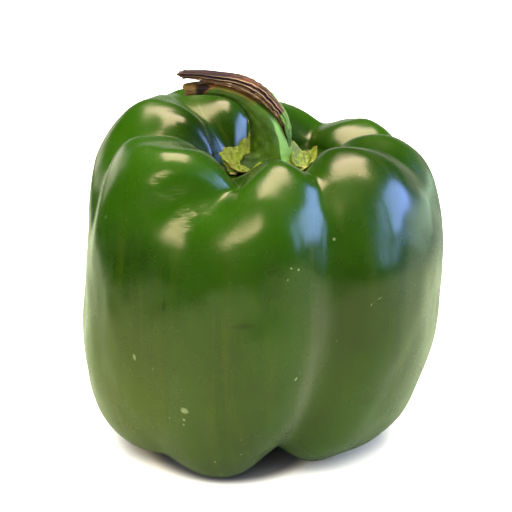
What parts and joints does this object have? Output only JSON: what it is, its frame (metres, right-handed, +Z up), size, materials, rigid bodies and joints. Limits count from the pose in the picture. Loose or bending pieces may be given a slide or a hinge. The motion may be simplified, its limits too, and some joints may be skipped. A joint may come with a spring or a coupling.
{
  "type": "bell pepper",
  "caption": "Blocky green bell pepper standing on its lobed base, with furrowed shoulders, a star-shaped calyx in the top hollow and a bent stem split at its tip.",
  "frame": {"origin": "under the middle of the whole, on the plane that the lobes stand on", "axes": "+Z up along the fruit, -X towards the tip of the stem, -Y towards the front in the picture"},
  "size_m": [0.0948, 0.0894, 0.0999],
  "materials": {
    "skin": "waxy, glossy green skin with fine ripples and pale specks",
    "calyx": "dull yellow-green leaf with dried brown edges",
    "stem": "satin green stem, dried to fibrous brown along its upper strand and tips"
  },
  "bodies": {
    "root": {"fruit": "skin", "calyx": "calyx", "stem": "stem"}
  },
  "joints": []
}
